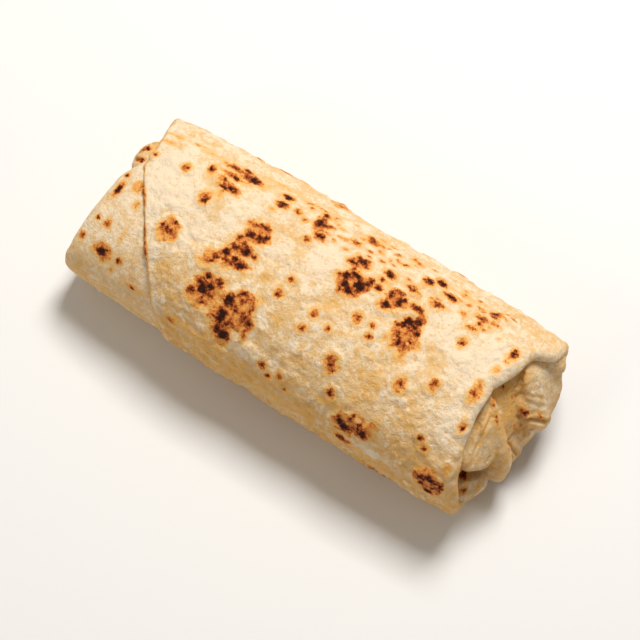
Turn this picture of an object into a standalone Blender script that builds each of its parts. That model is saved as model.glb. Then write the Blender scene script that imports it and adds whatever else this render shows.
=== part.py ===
"""A whole burrito: one flour tortilla rolled round its filling, both ends folded in, lying on its seam.

It is one solid, because nothing shows of the filling. +X runs along the roll towards the end with the
open tucks, +Z is up, and the origin is on the table under the middle of the bounding box.
Places round the roll are girth positions: the distance over the surface from the crest, positive
towards -Y (the near side) and negative towards +Y (the far side).
"""

import bmesh
import bpy
import numpy as np
from mathutils import Vector

MM = 0.001

# --- driving dimensions -----------------------------------------------------------------------
WIDTH = 77.6 * MM
HEIGHT = 53 * MM

# how the section changes along the roll
BELLY_X = 33 * MM  # where the roll is widest
BELLY_FADE = 104 * MM  # distance from there over which the half width loses WIDTH_LOSS
WIDTH_LOSS = 1.3 * MM
CORNER_X, OPEN_CORNER_X = -68 * MM, 64 * MM  # outside these the sides turn in a little
CORNER_SPAN, CORNER_LOSS = 20 * MM, 1.0 * MM
LEVEL = 24 * MM  # height at which the roll is widest
BELOW = 25.5 * MM  # depth of the full curve under that level; the table cuts it flat
ROUND_TOP, ROUND_BOTTOM = 2.25, 2.7  # superellipse exponents
SHOULDER_X = -55 * MM  # left of this the crest comes down towards the closed end
SHOULDER_DROP = 9 * MM  # lost by CLOSED_TOP_X
CLOSED_TOP_X = -88 * MM
LUMP = 0.32 * MM  # how far the filling pushes the tortilla out
LUMP_GIRTH, LUMP_FADE = 70 * MM, 20 * MM  # the lumps fade out before the table

# the outer layer's rim, towards the closed end
FAR_EDGE_X = -81.3 * MM  # where the outer layer ends near the crest
FAR_EDGE_SLANT = 0.2  # how quickly that edge moves outward down the far side
FAR_EDGE_START, FAR_EDGE_REACH = -16 * MM, 32 * MM  # from which girth position, and over what girth
NEAR_EDGE_X = -44.5 * MM  # where it ends on the near side, once its round rim has crossed the roll
RIM_START, RIM_SPAN = -8 * MM, 75 * MM  # girth position where the rim leaves the far edge, and its reach
RIM_CURVE = 1.15  # above 1, the rim leaves the far edge more gently
UNDER_EDGE_X = -62 * MM  # and underneath
UNDER_START, UNDER_SPAN = 78 * MM, 26 * MM
RIM_ROUND = ((9, 3.2), (1.2, 2.4), (0.1, 1.0), (0.7, 0))  # rounding of the rim, mm: back from it, depth
WRAP_ROOT_X, WRAP_ROOT_DEPTH = -10 * MM, 3.4 * MM  # its hidden inner end

# the hem at the open end
NOTCH_X = 73.8 * MM  # the lip at its deepest point
NOTCH_GIRTH = -1 * MM
LIP_FAR, LIP_FAR_FADE = 7.5 * MM, 12 * MM  # how far the far half of the lip comes forward, and how soon
HORN, HORN_START, HORN_SPAN = 6.3 * MM, 21 * MM, 11 * MM  # the far corner stands further out still
HORN_END, HORN_FADE = 80 * MM, 30 * MM  # and ends before the table
LIP_NEAR = 9.4 * MM  # how far the near half comes forward
LIP_NEAR_SPAN, LIP_NEAR_POWER = 52 * MM, 1.85  # over what girth, and how late in it
LIP_RADIUS = 2.6 * MM  # roundness of the folded hem
HEM_X, HEM_DEPTH = 64 * MM, 6.8 * MM  # where the hem ends inside

# the layer that shows beyond the rim, and the fold that ends it
INNER_DEPTH, INNER_RISE = 2.2 * MM, 1.1 * MM  # below the outer surface, and how much less at the near side
INNER_START, INNER_SPAN = 10 * MM, 50 * MM
CREASE_FAR, CREASE_CREST, CREASE_CORNER = -82 * MM, -88.2 * MM, -92.2 * MM
CREASE_STEP_START, CREASE_STEP_SPAN = -14 * MM, 16 * MM  # girth over which it steps from far to crest
CREASE_CORNER_GIRTH = 60 * MM
CREASE_UNDER_START, CREASE_UNDER_SPAN = 74 * MM, 30 * MM
CREASE_RADIUS = 2.5 * MM
END_MIDDLE = Vector((-88, -5, 16)) * MM  # middle of the closed end's face
INNER_OVERLAP = 16 * MM  # how far it runs on under the outer layer

# the blunt cap under the open tucks
CAP_FOOT = Vector((0, -2, 9)) * MM  # the point its rings shrink to, seen along the roll
CAP_ROOT_X, CAP_X, CAP_LENGTH, CAP_POWER = 56 * MM, 64 * MM, 23 * MM, 0.7
CAP_DEPTH = 6 * MM

CLEAR = 0.5 * MM  # the end pieces stay this far above the table
COLUMNS = 52  # vertices round the roll
WRAP_RINGS = 27


# --- the roll's cross-section -----------------------------------------------------------------
def smooth(t):
    """0 to 1, level at both ends."""
    t = min(max(t, 0.0), 1.0)
    return t * t * (3 - 2 * t)


def half_width(x):
    closed = max(0.0, (CORNER_X - x) / CORNER_SPAN)
    opened = max(0.0, (x - OPEN_CORNER_X) / CORNER_SPAN)
    narrower = WIDTH_LOSS * ((x - BELLY_X) / BELLY_FADE) ** 2 + CORNER_LOSS * (closed**2 + opened**2)
    return WIDTH / 2 - narrower


def crest(x):
    """Height of the top of the roll."""
    past = max(0.0, (SHOULDER_X - x) / (SHOULDER_X - CLOSED_TOP_X))
    return HEIGHT - SHOULDER_DROP * past**2


def section(x, inset=0.0):
    """Girth positions and (y, z) of a closed section, from the bottom round the far side and the crest."""
    steps = 720  # on each side
    turn = np.linspace(-np.pi, np.pi, 2 * steps + 1)
    sine, cosine = np.sin(turn), np.cos(turn)
    power = 2 / np.where(cosine >= 0, ROUND_TOP, ROUND_BOTTOM)
    reach = np.where(cosine >= 0, crest(x) - LEVEL, BELOW) - inset
    y = -(half_width(x) - inset) * np.sign(sine) * np.abs(sine) ** power
    z = LEVEL + reach * np.sign(cosine) * np.abs(cosine) ** power
    z = np.maximum(z, 0.0)
    girth = np.concatenate([[0], np.cumsum(np.hypot(np.diff(y), np.diff(z)))])
    return girth - girth[steps], y, z


def lumps(x, girth):
    """How far the filling pushes the tortilla out: two slow waves that cross each other."""
    a, b = x / MM, girth / MM
    wave = np.sin(a / 11.0 + 0.9) * np.cos(b / 13.0 + 0.4) + 0.7 * np.sin(a / 6.3 - b / 17.0 + 2.1)
    return LUMP * wave * smooth((LUMP_GIRTH - abs(girth)) / LUMP_FADE)


def on_roll(x, share, inset=0.0):
    """The point at x and at a share of the girth, from -0.5 to 0.5, moved in by inset."""
    girth, y, z = section(x, inset)
    at = np.interp(share, [-0.5, 0.0, 0.5], [girth[0], 0.0, girth[-1]])
    y, z = np.interp(at, girth, y), np.interp(at, girth, z)
    out = Vector((0, y, z - LEVEL)).normalized()
    point = Vector((x, y, z)) + out * lumps(x, at)
    point.z = max(point.z, 0.0)
    return point


def columns():
    """Share and girth position of each vertex round the roll, the second measured at mid-length."""
    whole = 2 * section(0.0)[0][-1]
    shares = [-0.5 + (i + 0.5) / COLUMNS for i in range(COLUMNS)]
    return [(share, share * whole) for share in shares]


# --- edges of the outer layer ------------------------------------------------------------------
def rim_x(girth):
    """The tortilla's round rim: from the far edge it crosses the crest slantwise to the near side."""
    if girth < RIM_START:
        down = min(max(FAR_EDGE_START - girth, 0.0), FAR_EDGE_REACH)
        back = smooth((UNDER_START + girth) / UNDER_SPAN)
        edge = FAR_EDGE_X - FAR_EDGE_SLANT * down
        return UNDER_EDGE_X + (edge - UNDER_EDGE_X) * back
    across = np.sin(np.pi / 2 * min(1.0, (girth - RIM_START) / RIM_SPAN)) ** RIM_CURVE
    edge = FAR_EDGE_X + (NEAR_EDGE_X - FAR_EDGE_X) * across
    back = smooth((girth - UNDER_START) / UNDER_SPAN)
    return edge + (UNDER_EDGE_X - edge) * back


def lip_x(girth):
    """The hem at the open end: a notch near the crest, and corners that stand forward."""
    off = girth - NOTCH_GIRTH
    if off < 0:
        horn = smooth((-off - HORN_START) / HORN_SPAN) * smooth((HORN_END + off) / HORN_FADE)
        return NOTCH_X + LIP_FAR * (1 - np.exp(off / LIP_FAR_FADE)) + HORN * horn
    return NOTCH_X + LIP_NEAR * min(off / LIP_NEAR_SPAN, 1.0) ** LIP_NEAR_POWER


def crease_x(girth):
    """The fold that ends the inner layer at the closed end: straight on top, set back on the far side."""
    to_crest = smooth((girth - CREASE_STEP_START) / CREASE_STEP_SPAN)
    to_corner = min(max(girth / CREASE_CORNER_GIRTH, 0.0), 1.0)
    under = smooth((girth - CREASE_UNDER_START) / CREASE_UNDER_SPAN)
    x = CREASE_FAR + (CREASE_CREST - CREASE_FAR) * to_crest
    x += (CREASE_CORNER - CREASE_CREST) * to_corner
    return x + (CREASE_FAR - x) * under


def inner_depth(girth):
    """Depth of the inner layer under the outer surface; they lie tightest at the near side."""
    return INNER_DEPTH - INNER_RISE * smooth((girth - INNER_START) / INNER_SPAN)


# --- meshes ------------------------------------------------------------------------------------
def skin(name, rings):
    """A closed mesh through rings of equally many points, each end closed by one face."""
    mesh = bpy.data.meshes.new(name)
    bm = bmesh.new()
    rows = [[bm.verts.new(p) for p in ring] for ring in rings]
    count = len(rows[0])
    for first, second in zip(rows, rows[1:]):
        for i in range(count):
            j = (i + 1) % count
            bm.faces.new((first[i], first[j], second[j], second[i]))
    bm.faces.new(list(reversed(rows[0])))
    bm.faces.new(rows[-1])
    bmesh.ops.recalc_face_normals(bm, faces=bm.faces)
    bmesh.ops.triangulate(bm, faces=bm.faces)
    bm.to_mesh(mesh)
    bm.free()
    mesh.shade_smooth()
    obj = bpy.data.objects.new(name, mesh)
    bpy.context.scene.collection.objects.link(obj)
    return obj


def lift(ring):
    """Keeps a ring clear of the table."""
    return [Vector((p.x, p.y, max(p.z, CLEAR))) for p in ring]


def outer_layer():
    """The wrap: from inside its rim, over the roll, round the hem and back in behind it."""
    round_roll = columns()
    rings = [[on_roll(WRAP_ROOT_X, s, WRAP_ROOT_DEPTH) for s, g in round_roll]]
    for back, depth in RIM_ROUND[:-1]:
        rings.append([on_roll(rim_x(g) + back * MM, s, depth * MM) for s, g in round_roll])
    for k in range(WRAP_RINGS):
        ring = []
        for s, g in round_roll:
            start = rim_x(g) + RIM_ROUND[-1][0] * MM
            stop = lip_x(g) - LIP_RADIUS
            ring.append(on_roll(start + (stop - start) * k / (WRAP_RINGS - 1), s))
        rings.append(ring)
    for turn in np.radians([35, 65, 95, 130, 165]):
        depth = LIP_RADIUS * (1 - np.cos(turn))
        reach = LIP_RADIUS * (np.sin(turn) - 1)
        rings.append([on_roll(lip_x(g) + reach, s, depth) for s, g in round_roll])
    rings.append([on_roll(HEM_X, s, HEM_DEPTH) for s, g in round_roll])
    return skin("outer_layer", rings)


def closed_end():
    """The inner layer that shows beyond the rim: it runs to a crease and folds down over the end."""
    round_roll = columns()
    rings = [[on_roll(0.0, s, inner_depth(g)) for s, g in round_roll]]
    rings_to_crease = 12
    for k in range(rings_to_crease):
        ring = []
        for s, g in round_roll:
            start, stop = rim_x(g) + INNER_OVERLAP, crease_x(g) + CREASE_RADIUS
            ring.append(on_roll(start + (stop - start) * k / (rings_to_crease - 1), s, inner_depth(g)))
        rings.append(ring)
    for turn in np.radians([30, 60, 90]):
        reach = CREASE_RADIUS * (1 - np.sin(turn))
        depth = CREASE_RADIUS * (1 - np.cos(turn))
        rings.append([on_roll(crease_x(g) + reach, s, inner_depth(g) + depth) for s, g in round_roll])
    edge = rings[-1]
    for shrink in (0.85, 0.65, 0.4, 0.15):
        rings.append([END_MIDDLE + (p - END_MIDDLE) * shrink for p in edge])
    return skin("closed_end", [lift(ring) for ring in rings])


def open_end():
    """What the tucks lie on: a blunt cap that leans back from the table to the notch."""
    base = [on_roll(CAP_X, s, CAP_DEPTH) for s, g in columns()]
    base = [Vector((0, p.y, p.z)) for p in base]
    rings = [[Vector((CAP_ROOT_X, p.y, p.z)) for p in base]]
    for shrink in (0.98, 0.9, 0.75, 0.6, 0.45, 0.3, 0.12):
        x = Vector((CAP_X + CAP_LENGTH * (1 - shrink) ** CAP_POWER, 0, 0))
        rings.append([x + CAP_FOOT + (p - CAP_FOOT) * shrink for p in base])
    return skin("open_end", [lift(ring) for ring in rings])


# --- folds at the two ends ---------------------------------------------------------------------
# name: spine of (x, y, z, half width) in mm, thickness in mm, the way its flat side faces
TUCKS = {
    "far_flap": (
        [(74, 23, 41, 8), (80.5, 21, 39, 10.5), (85.5, 18, 31, 11.5), (89.5, 14, 22, 11), (91.5, 13, 14, 8)],
        7,
        (1, 0.12, 0.55),
    ),
    "far_corner": ([(74, 29, 38, 6), (82, 30, 35, 8), (87, 29, 28, 7)], 8, (0.7, 0.7, 0.4)),
    "far_flap_edge": ([(81, 7, 37, 3), (88, 8.5, 28, 5), (93, 11, 17, 4)], 6, (1, -0.1, 0.5)),
    "pocket_fold": ([(69, 16, 47, 5), (75, 12, 42.5, 5), (79, 6, 38, 4)], 6, (0.7, 0, 0.8)),
    "middle_panel": ([(70, 0, 46, 5), (78, 1, 38, 7), (85, -2, 26, 7)], 6, (0.9, 0, 0.5)),
    "under_flap": ([(83, 2, 27, 4), (88, 5, 18, 5), (88, 4, 7, 6)], 7, (1, 0, 0.4)),
    "small_fold": ([(83, -4, 26, 3), (87.5, -3, 15, 4.5), (88.5, -4, 6, 5)], 6, (1, 0, 0.4)),
    "near_panel": (
        [(68, -6, 46, 5), (75, -12, 41, 10), (79.5, -19, 35, 10), (81, -24, 32, 7)],
        6,
        (0.8, -0.1, 0.6),
    ),
    "bridge": ([(72, -3, 46, 4), (78, -9.5, 38.5, 6), (82.5, -14, 31, 6)], 8, (0.8, -0.05, 0.6)),
    "finger": (
        [(73, -1, 47, 2), (78, -7, 38, 3.5), (82, -9.7, 31, 4.5), (86, -12, 22, 5.2), (88.5, -14.5, 11, 5.6)],
        11,
        (0.8, 0.2, 0.6),
    ),
    "bottom_layer": ([(67, -30, 11, 6), (74.5, -25, 12, 9), (83, -14.5, 11, 9)], 13, (0.4, -0.3, 0.8)),
    "far_bulge": ([(-78, 22, 34, 5), (-84, 15, 36, 7), (-85, 6, 35, 6)], 8, (-1, 0, 0.4)),
    "closed_far_flap": ([(-80, 24, 30, 8), (-85, 17, 22, 12), (-87, 10, 11, 11)], 6, (-1, 0.1, 0.2)),
    "closed_near_flap": ([(-86, -3, 33, 9), (-89.5, -10, 22, 16), (-90.5, -12, 10, 14)], 5, (-1, -0.05, 0.2)),
}
FOLD_AROUND, FOLD_ALONG = 14, 9  # points round a fold, and rings along it
FOLD_SQUARE = 0.75  # below 1, the fold is flatter than an ellipse
FOLD_BLUNT = 0.55  # below 1, its ends are blunt
FOLD_TIP = 0.05  # share of the end cap left off, closed by a small flat face


def curve(points, t):
    """A smooth curve through the points (Catmull-Rom), at t from 0 to 1."""
    points = np.asarray(points, float)
    padded = np.vstack([2 * points[0] - points[1], points, 2 * points[-1] - points[-2]])
    at = min(max(t, 0.0), 1.0) * (len(points) - 1)
    k = min(int(at), len(points) - 2)
    f = at - k
    a, b, c, d = padded[k : k + 4]
    return b + 0.5 * f * (c - a + f * (2 * a - 5 * b + 4 * c - d + f * (3 * (b - c) + d - a)))


def rounded(value):
    """Sine or cosine, squared off for a flat-sided fold."""
    return np.sign(value) * abs(value) ** FOLD_SQUARE


def fold(name, spine, thick, facing):
    """A pad of folded tortilla along its spine, with rounded ends and sides."""
    rings = []
    facing = Vector(facing).normalized()
    step = 0.02  # of the spine, to find its direction
    for k in range(FOLD_ALONG + 1):
        turn = np.pi * (FOLD_TIP + (1 - 2 * FOLD_TIP) * k / FOLD_ALONG)
        t = 0.5 - 0.5 * np.cos(turn)
        x, y, z, half = curve(spine, t)
        ahead = Vector(curve(spine, t + step)[:3] - curve(spine, t - step)[:3]).normalized()
        side = facing.cross(ahead).normalized()
        out = ahead.cross(side)
        swell = np.sin(turn) ** FOLD_BLUNT
        ring = []
        for i in range(FOLD_AROUND):
            a = 2 * np.pi * (i + 0.5) / FOLD_AROUND
            across = half * swell * rounded(np.cos(a))
            up = thick / 2 * swell * rounded(np.sin(a))
            ring.append((Vector((x, y, z)) + side * across + out * up) * MM)
        rings.append(lift(ring))
    return skin(name, rings)


# --- the finished part -------------------------------------------------------------------------
def dough(name, colour, roughness):
    material = bpy.data.materials.new(name)
    material.use_nodes = True
    shader = material.node_tree.nodes["Principled BSDF"]
    shader.inputs["Base Color"].default_value = (*colour, 1)
    shader.inputs["Roughness"].default_value = roughness
    shader.inputs["Metallic"].default_value = 0
    return material


def join(body, others):
    """One closed body out of the outer layer and everything that sticks out of it."""
    joined = bpy.data.collections.new("joined_to_the_roll")
    joined.hide_render = True
    bpy.context.scene.collection.children.link(joined)
    for obj in others:
        bpy.context.scene.collection.objects.unlink(obj)
        joined.objects.link(obj)
        obj.hide_render = True
        obj.display_type = "WIRE"
    union = body.modifiers.new("Join", "BOOLEAN")
    union.operation = "UNION"
    union.operand_type = "COLLECTION"
    union.collection = joined
    union.solver = "EXACT"


def main():
    for obj in list(bpy.data.objects):
        bpy.data.objects.remove(obj)
    roll = outer_layer()
    parts = [closed_end(), open_end()] + [fold(name, *sizes) for name, sizes in TUCKS.items()]
    roll.name = "tortilla"
    roll.data.materials.append(dough("toasted flour tortilla", (0.80, 0.60, 0.36), 0.7))
    join(roll, parts)


main()
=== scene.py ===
# %% [markdown]
# # A whole burrito, dressed for its portrait
#
# The object is one soft wheat tortilla, baked on a hot plate until it blistered, then rolled round its
# filling with both ends folded in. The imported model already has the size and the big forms. This lesson
# adds what makes it look like food: thin layers with rounded edges, blisters, creases, and toasted spots.
#
# All lengths are in millimetres until a mesh is made. +X runs along the roll towards its open end, +Z is
# up. A place on the roll is (x, g): g is the distance over the surface from the crest, positive towards
# the near side (-Y) and negative towards the far side.

import bmesh
import bpy
import numpy as np
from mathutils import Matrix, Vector


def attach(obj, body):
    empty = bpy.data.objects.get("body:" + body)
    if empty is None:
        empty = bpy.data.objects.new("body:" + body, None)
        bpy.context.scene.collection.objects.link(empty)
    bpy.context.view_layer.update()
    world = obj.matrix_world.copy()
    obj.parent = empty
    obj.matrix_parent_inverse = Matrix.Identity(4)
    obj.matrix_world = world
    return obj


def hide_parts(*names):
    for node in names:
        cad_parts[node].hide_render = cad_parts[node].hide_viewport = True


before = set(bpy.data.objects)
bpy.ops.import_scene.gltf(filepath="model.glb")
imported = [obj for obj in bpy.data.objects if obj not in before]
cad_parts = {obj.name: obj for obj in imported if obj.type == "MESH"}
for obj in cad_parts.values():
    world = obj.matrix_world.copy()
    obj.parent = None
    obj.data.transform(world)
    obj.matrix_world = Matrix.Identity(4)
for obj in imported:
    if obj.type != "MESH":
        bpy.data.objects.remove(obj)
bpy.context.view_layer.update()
MM = 0.001

# %% [markdown]
# ## Tools of the trade
#
# Three small helpers do most of the shaping. `smooth` is an S-curve from 0 to 1. `noise` is lattice noise
# for arrays of points, so that the same dough texture can be read anywhere in space. `mesh_piece` turns
# rows of points into an object that rides on the body and stands for the CAD solid.

# %% Curves and noise


def smooth(low, high, value):
    """0 below low, 1 above high, level at both ends."""
    t = np.clip((value - low) / (high - low), 0.0, 1.0)
    return t * t * (3 - 2 * t)


def noise(points, size, seed):
    """Smooth random values from -1 to 1 whose lumps are about size mm across; size may differ by axis."""
    lattice = np.random.default_rng(seed).uniform(-1, 1, (32, 32, 32))
    at = np.asarray(points, float) / size + 500.37
    cell = np.floor(at).astype(int)
    f = at - cell
    f = f * f * (3 - 2 * f)
    total = 0.0
    for corner in np.ndindex(2, 2, 2):
        weight = np.prod(np.where(corner, f, 1 - f), axis=-1)
        index = (cell + corner) % 32
        total = total + weight * lattice[index[..., 0], index[..., 1], index[..., 2]]
    return total * 1.6


probe = noise(np.random.default_rng(1).uniform(0, 90, (4000, 3)), 5.0, 2)
print("noise runs from", probe.min().round(2), "to", probe.max().round(2))

# %% [markdown]
# ## The roll's cross-section
#
# A rolled tortilla settles into a flattened oval: round on top, flatter below, dead flat on the table.
# A superellipse gives that with one exponent for the top and one for the bottom. One table links the
# distance over the surface, g, to a place on the oval, and the half width and the crest height then
# change slowly with x.

# %% Section table
WIDTH, HEIGHT = 77.6, 53.0
LEVEL, BELOW = 24.0, 25.5
ROUND_TOP, ROUND_BOTTOM = 2.25, 2.7


def half_width(x):
    closed = np.maximum(0, (-68 - x) / 20)
    opened = np.maximum(0, (x - 64) / 20)
    return WIDTH / 2 - 1.3 * ((x - 33) / 104) ** 2 - (closed**2 + opened**2)


def crest(x):
    return HEIGHT - 9 * np.maximum(0, (-55 - x) / 33) ** 2


TURN = np.linspace(-np.pi, np.pi, 5761)
POWER = 2 / np.where(np.cos(TURN) >= 0, ROUND_TOP, ROUND_BOTTOM)
ACROSS = np.sign(np.sin(TURN)) * np.abs(np.sin(TURN)) ** POWER
UP = np.sign(np.cos(TURN)) * np.abs(np.cos(TURN)) ** POWER
table_z = LEVEL + np.where(UP >= 0, HEIGHT - LEVEL, BELOW) * UP
steps = np.hypot(np.diff(ACROSS * WIDTH / 2), np.diff(np.maximum(table_z, 0)))
GIRTH = np.concatenate([[0], np.cumsum(steps)])
GIRTH -= GIRTH[2880]
WHOLE = GIRTH[-1] - GIRTH[0]
print("girth of the roll, mm:", round(float(WHOLE), 1))

# %% From (x, g) to a point


def wrap_round(g):
    """Brings a girth position into the range of the table."""
    return (g + WHOLE / 2) % WHOLE - WHOLE / 2


def roll_point(x, g, inset=0.0):
    g = wrap_round(g)
    across, up = np.interp(g, GIRTH, ACROSS), np.interp(g, GIRTH, UP)
    reach = np.where(up >= 0, crest(x) - LEVEL, BELOW) - inset
    point = np.stack([x + 0 * g, -(half_width(x) - inset) * across, LEVEL + reach * up], -1)
    out = point - [0, 0, LEVEL]
    out[..., 0] = 0
    out /= np.linalg.norm(out, axis=-1, keepdims=True)
    point += out * (filling(x, g) * smooth(70, 50, np.abs(g)))[..., None]
    point[..., 2] = np.maximum(point[..., 2], 0)
    return point


def filling(x, g):
    """How far the filling pushes out through the tortilla."""
    wave = np.sin(x / 11 + 0.9) * np.cos(g / 13 + 0.4) + 0.7 * np.sin(x / 6.3 - g / 17 + 2.1)
    return 0.32 * wave


print("top of the roll at x = 0:", roll_point(np.array(0.0), np.array(0.0)).round(2))

# %% [markdown]
# ## Where the outer layer ends
#
# At the closed end the tortilla's own round rim crosses the roll slantwise, so its outline is one long
# curve: an eighth of a circle laid over the roll. At the open end the layer is turned in like a hem. Its
# lip dips to a notch near the crest and stands forward at both corners.

# %% Rim and lip


def rim_x(g):
    g = wrap_round(g)
    across = np.sin(np.pi / 2 * np.clip((g + 8) / 75, 0, 1)) ** 1.15
    near = -81.3 + 36.8 * across
    near += (-62 - near) * smooth(78, 104, g)
    far = -81.3 - 0.2 * np.clip(-16 - g, 0, 32)
    far = -62 + (far + 62) * smooth(-78, -52, g)
    return np.where(g < -8, far, near) + 0.35 * np.sin(g / 4.1) * smooth(-8, 6, g)


def lip_x(g):
    off = wrap_round(g) + 1.0
    far = 73.8 + 7.5 * (1 - np.exp(np.minimum(off, 0) / 12))
    far += 6.3 * smooth(-21, -32, off) * smooth(-80, -50, off)
    near = 73.8 + 9.4 * np.clip(off / 52, 0, 1) ** 1.85
    return np.where(off < 0, far, near) + 0.3 * np.sin(off / 5.3 + 1.0) + 0.2 * np.sin(off / 2.3)


for place in (-40, 0, 40):
    print("g", place, "rim at", rim_x(np.array(place)).round(1), "lip at", lip_x(np.array(place)).round(1))

# %% [markdown]
# ## Toasted spots
#
# A tortilla toasts where its blisters touch the hot plate. Each spot is a golden field with dark cores,
# and a small one sits on a pale blister. Spots are kept as places on the roll with a radius along it and
# one across it. The mesh carries two numbers per point: how many millimetres the point lies inside a
# field, and inside a core. The material then frays those edges with fine noise, so the spots stay crisp
# without a picture. The same numbers also paint shade: hairlines in the creases low on the near side, a
# line beside the rim, and dark marks in the folds of both ends.

# %% Fields and cores on the roll
# Each field: x, g, radius along, radius across, and how thickly small cores are strewn in it (0 to 1).
FIELDS = [
    # on the crest, towards the open end
    (11, -7, 5.9, 5.1, 0.5), (7, -14, 3.0, 1.7, 0.4), (9, -16.5, 3.3, 2.7, 0.4), (15.5, -10.5, 2.9, 2.0, 0.4),
    (19.5, -10.5, 1.8, 2.0, 0.7), (20, -18, 2.6, 1.8, 0.3), (27, -9.5, 4.0, 4.0, 0.3), (24.5, -6, 2.5, 2.3, 0.4),
    (37, -2.5, 5.1, 7.6, 0.4), (35.5, -11.5, 3.3, 1.6, 0.3),
    # on the crest, towards the closed end
    (-29, -5, 5.2, 5.1, 0.5), (-30, 4, 5.6, 3.4, 0.4), (-30.5, 9.5, 6.0, 3.3, 0.6), (-37.5, 11, 3.4, 3.3, 0.3),
    (-39.5, 15, 2.2, 1.5, 0.0), (-57, 12, 4.6, 4.4, 1.0),
    # the big pair on the near side
    (-34, 22.5, 5.8, 6.3, 0.6), (-38, 27, 3.0, 3.0, 0.3), (-19, 23.5, 7.2, 7.8, 0.6), (-21.5, 33.5, 4.8, 4.4, 0.5),
    (-25, 27, 3.0, 4.5, 0.5), (-29.5, 23, 3.0, 5.5, 0.4), (-40.5, 42.5, 2.7, 1.8, 0.3),
    # low on the near side
    (35, 39, 4.7, 5.2, 0.4), (41.5, 37.5, 4.0, 4.6, 0.4), (36.5, 47.5, 3.6, 1.6, 0.3), (71, 43.5, 5.3, 5.4, 0.4),
    # streaks on the far side
    (-43, -24, 4.6, 2.7, 0.4), (-50, -24, 5.4, 1.6, 0.4), (-49.5, -20, 5.3, 1.5, 0.4), (-47, -14.5, 4.9, 2.4, 0.4),
    (-51.5, -16.5, 2.6, 1.5, 0.3), (-57, -17.5, 1.6, 2.8, 0.4), (-52.5, -6, 2.3, 3.2, 0.4), (-48.5, -10.5, 1.0, 1.8, 0.0),
    (-28, -25, 2.3, 1.9, 0.3), (-27.5, -20.5, 2.4, 1.7, 0.3), (-21.5, -20.5, 1.4, 1.0, 0.7), (-12, -20.5, 2.8, 3.4, 0.4),
    (-12, -25.5, 1.5, 1.2, 0.5), (-9, -22, 1.6, 1.0, 0.5), (-9.5, -16, 2.6, 1.8, 0.4), (-12, -12.5, 1.9, 1.4, 0.5),
    (33, -24, 2.4, 2.1, 0.3), (37, -27.5, 2.4, 1.9, 0.4), (42.5, -24, 3.0, 2.0, 0.3), (40.5, -17.5, 2.6, 1.5, 0.5),
    (59.5, -27.5, 2.3, 2.1, 0.4), (56.5, -22.5, 2.0, 1.2, 0.6), (57, -19.5, 1.3, 1.5, 0.5), (56, -16.5, 1.6, 1.3, 0.6),
    (30, -17.5, 1.6, 1.4, 0.7), (19, -14.5, 1.6, 1.1, 0.7), (7.5, -28.5, 3.2, 2.0, 0.8), (3, -22.5, 2.2, 1.4, 0.7),
    (-30, -16.5, 1.0, 0.9, 0.3), (-17.5, -19.5, 1.2, 0.8, 0.5),
    # single blisters
    (55.5, -9.5, 1.9, 2.6, 0.6), (73.5, -15.5, 1.8, 2.8, 0.4), (73, -11, 1.2, 0.9, 0.3), (71.5, -6.5, 1.4, 1.7, 0.0),
    (69.5, 4.5, 2.4, 4.2, 0.5), (72, 17.5, 1.3, 2.4, 0.7), (55.5, 10, 2.1, 2.8, 0.9), (45, 16, 2.4, 2.8, 0.7),
    (19.5, 3.5, 1.9, 2.3, 0.8), (26.5, 7.0, 1.5, 1.5, 0.5), (25.5, 3, 1.0, 1.1, 0.7), (20, 22.5, 3.0, 3.4, 1.0),
    (-9.5, 10.5, 2.1, 2.2, 0.8), (-8.5, 4, 1.3, 1.4, 0.8), (5.5, 10, 1.5, 1.8, 0.4), (4.5, 17, 1.4, 1.8, 0.6),
    (12.5, 12.5, 1.0, 1.3, 0.8), (25, 32, 2.0, 2.2, 0.9), (-2, 37, 1.9, 2.0, 0.5), (1.5, 39.8, 1.4, 1.3, 0.9),
    (5.5, 37, 1.5, 1.4, 0.4), (61.5, 28.5, 1.2, 1.0, 0.7), (64, 31.5, 1.6, 1.1, 0.8), (74.5, 33.5, 1.2, 1.2, 0.3),
    (75.2, 35.8, 1.2, 1.0, 0.3), (-65.5, -13, 2.0, 2.2, 0.5),
    # thin strokes where the sheet is puckered: the far left edge, the far side and low on the near side; the hairlines
    # low on the near side, 0.3 or 0.35 across, are painted shade in the creases
    (-78, -26, 2.6, 0.7, 0.3), (-78, -21, 2.4, 0.6, 0.3), (-79.5, -13, 0.9, 1.3, 0.9), (-67.5, -26.5, 3.4, 0.5, 0.0),
    (-61, -25, 2.6, 0.4, 0.0), (-33, -30, 4.5, 0.5, 0.3), (-17, -29, 2.6, 0.4, 0.3), (47, -29, 3.0, 0.5, 0.3),
    (22, -26, 1.6, 0.5, 0.5), (50, -20.5, 1.2, 0.6, 0.5), (15, 47, 2.6, 0.5, 0.3), (21, 44.5, 1.4, 0.5, 0.3),
    # painted shade: from (-27, 41) on, the hairlines are dark lines in the creases low on the near side
    (39, 51, 4.6, 0.7, 0.6), (50, 50, 1.8, 0.5, 0.3), (-27, 41, 5.5, 0.3, 0.0), (-15, 42, 4.5, 0.3, 0.0),
    (-37, 39.5, 3.0, 0.3, 0.0), (-22, 46.5, 7.0, 0.35, 0.0), (-2, 48.5, 8.0, 0.35, 0.0), (-48, 46, 5.0, 0.35, 0.0),
    (14, 50, 6.0, 0.35, 0.3), (26, 36.5, 1.2, 0.3, 0.0), (9, 41, 1.5, 0.3, 0.5),
]
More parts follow.
